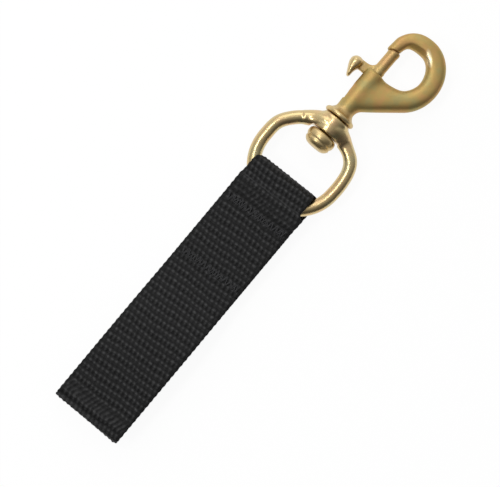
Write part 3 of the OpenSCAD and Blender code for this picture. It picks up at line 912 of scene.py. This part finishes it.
def yarn(name, dark, pale, size, mark=None):
    """Near-black yarn. Where the piece carries a mark of its weave, shade is painted into the
    grooves.
    """
    material, tree, shader, where = new_material(name)
    cloud = add(tree, "ShaderNodeTexNoise", Vector=(where, "Object"), Scale=size, Detail=3.0,
                Roughness=0.6)
    tone = ramp(tree, cloud.outputs["Fac"], [(0.3, dark), (0.7, pale)])
    colour = tone.outputs[0]
    # The weave's height paints shade into the grooves.
    if mark:
        height = tree.nodes.new("ShaderNodeAttribute")
        height.attribute_name = mark
        shade = ramp(tree, height.outputs["Fac"], [(at, (v, v, v)) for at, v in GROOVE_SHADE])
        both = tree.nodes.new("ShaderNodeMix")
        both.data_type = "RGBA"
        both.blend_type = "MULTIPLY"
        both.inputs[0].default_value = 1.0
        tree.links.new(colour, both.inputs[6])
        tree.links.new(shade.outputs[0], both.inputs[7])
        colour = both.outputs[2]
    tree.links.new(colour, shader.inputs["Base Color"])
    stretch = add(tree, "ShaderNodeMapping", Vector=(where, "Object"))
    stretch.inputs["Scale"].default_value = (9000.0, 1500.0, 9000.0)
    streak = add(tree, "ShaderNodeTexNoise", Vector=(stretch, 0), Scale=1.0, Detail=2.0)
    bump = add(tree, "ShaderNodeBump", Strength=0.6, Distance=0.00008, Height=(streak, "Fac"))
    tree.links.new(bump.outputs[0], shader.inputs["Normal"])
    shader.inputs["Roughness"].default_value = 0.62
    shader.inputs["Specular IOR Level"].default_value = 0.22
    return material


webbing.data.materials.append(
    yarn("webbing", (0.038, 0.038, 0.039), (0.070, 0.070, 0.071), 900.0, "weave"))
tack_thread.data.materials.append(
    yarn("thread", (0.024, 0.024, 0.025), (0.050, 0.050, 0.052), 1100.0))
print("materials:", sorted(m.name for m in bpy.data.materials))

# %% [markdown]
# ## The table
#
# The object lies on a white table. The floor glows white to the camera and in reflections, so
# the picture's ground is even and the metal has a pale floor to mirror, and one tenth of it stays
# plain matt white, which takes a soft shadow.

# %% Lay the table
GLOW_SHARE = 0.9


def white_floor():
    """Matt white mixed with a glow, where the ray comes from the camera, a mirror or glass."""
    material = bpy.data.materials.new("white_table")
    material.use_nodes = True
    tree = material.node_tree
    tree.nodes.clear()
    output = tree.nodes.new("ShaderNodeOutputMaterial")
    matt = add(tree, "ShaderNodeBsdfDiffuse", Color=(0.86, 0.86, 0.86, 1))
    glow = add(tree, "ShaderNodeEmission", Color=(1, 1, 1, 1), Strength=1.04)
    seen = tree.nodes.new("ShaderNodeLightPath")
    either = (seen, "Is Camera Ray")
    for ray in ("Is Glossy Ray", "Is Transmission Ray"):
        wider = add(tree, "ShaderNodeMath", i0=either, i1=(seen, ray))
        wider.operation = "MAXIMUM"
        either = (wider, 0)
    share = add(tree, "ShaderNodeMath", i0=either, i1=GLOW_SHARE)
    share.operation = "MULTIPLY"
    mixed = tree.nodes.new("ShaderNodeMixShader")
    tree.links.new(share.outputs[0], mixed.inputs[0])
    tree.links.new(matt.outputs[0], mixed.inputs[1])
    tree.links.new(glow.outputs[0], mixed.inputs[2])
    tree.links.new(mixed.outputs[0], output.inputs[0])
    return material


def stage_plane(name, half, z):
    """A level square at one height, in metres."""
    mesh = bpy.data.meshes.new(name)
    corners = [(-half, -half, z), (half, -half, z), (half, half, z), (-half, half, z)]
    mesh.from_pydata(corners, [], [(0, 1, 2, 3)])
    obj = bpy.data.objects.new(name, mesh)
    bpy.context.scene.collection.objects.link(obj)
    return obj


table = stage_plane("table", 3.0, TABLE * MM - 0.0001)
table.data.materials.append(white_floor())
print("table at", round(TABLE, 2), "mm")

# %% [markdown]
# ## The lights
#
# In the photograph the light comes from the picture's top, which is the model's upper left. A
# broad window stands on that side, a small lamp at the picture's left, and a ceiling light
# between them. Each leaves its own bright band on the rod, the barrel and the saddle, and
# together they keep the shadows faint.

# %% Hang the lights
def soft_light(name, place, size, power):
    """A square lamp that faces the middle of the object."""
    lamp = bpy.data.lights.new(name, "AREA")
    lamp.shape = "SQUARE"
    lamp.size = size
    lamp.energy = power
    obj = bpy.data.objects.new(name, lamp)
    obj.location = place
    aim = np.array([0.0, -0.02, 0.0]) - np.array(place)
    away = math.hypot(aim[0], aim[1])
    obj.rotation_euler = (math.atan2(away, -aim[2]), 0, math.atan2(aim[1], aim[0]) - math.pi / 2)
    bpy.context.scene.collection.objects.link(obj)


soft_light("window", (-0.42, 0.46, 0.50), 0.5, 0.9)
soft_light("ceiling", (-0.31, 0.0, 0.70), 0.13, 0.75)
soft_light("lamp", (-0.26, -0.34, 0.60), 0.16, 0.9)
print("lights:", len(bpy.data.lights))

# %% [markdown]
# ## The room
#
# Brass shows little but what it mirrors, so the room gives it most of its form. It is bright on
# the window's side and falls to dark on the other, as a smooth sweep of the direction's share
# along one line. A picture of a real room would do the same, but no image is used here.

# %% Light the room
WINDOW_SIDE = (-0.66, 0.66, 0.36)
SWEEP_FROM, SWEEP_TO, DARK_SIDE, BRIGHT_SIDE = -0.6, 1.5, 0.08, 0.9
world = bpy.data.worlds.new("studio")
bpy.context.scene.world = world
world.use_nodes = True
room = world.node_tree
direction = room.nodes.new("ShaderNodeTexCoord")
share = room.nodes.new("ShaderNodeVectorMath")
share.operation = "DOT_PRODUCT"
share.inputs[1].default_value = WINDOW_SIDE
room.links.new(direction.outputs["Generated"], share.inputs[0])
sweep = room.nodes.new("ShaderNodeMapRange")
sweep.interpolation_type = "SMOOTHSTEP"
for socket, value in zip(sweep.inputs[1:5], (SWEEP_FROM, SWEEP_TO, DARK_SIDE, BRIGHT_SIDE)):
    socket.default_value = value
room.links.new(share.outputs["Value"], sweep.inputs[0])
room.nodes["Background"].inputs[0].default_value = (1, 1, 1, 1)
room.links.new(sweep.outputs[0], room.nodes["Background"].inputs[1])
print("room's glow from", DARK_SIDE, "to", BRIGHT_SIDE)

# %% [markdown]
# ## The camera
#
# The photograph looks straight down, with the hook turned towards the picture's upper right. Its
# width and the scale that the strap gives say how wide a field the lens has to cover from its
# height. The camera stands over the point that lies in the middle of the photograph.

# %% Set up the camera
CAMERA_UP_TURN = 40.6
NADIR = (4.7, -31.2)
CAMERA_H = 390.0
SENSOR_W = 36.0
PHOTO_W, PX_PER_MM = 500, 3.05
FRAME_W = PHOTO_W / PX_PER_MM
lens = bpy.data.cameras.new("camera")
lens.sensor_width = SENSOR_W
lens.lens = SENSOR_W * CAMERA_H / FRAME_W
lens.clip_start = 0.01
camera = bpy.data.objects.new("camera", lens)
camera.location = (NADIR[0] * MM, NADIR[1] * MM, CAMERA_H * MM)
camera.rotation_euler = (0, 0, math.radians(CAMERA_UP_TURN))
bpy.context.scene.collection.objects.link(camera)
bpy.context.scene.camera = camera
bpy.context.scene.view_settings.view_transform = "Standard"
print("field of view", round(FRAME_W, 1), "mm wide from", CAMERA_H, "mm up")
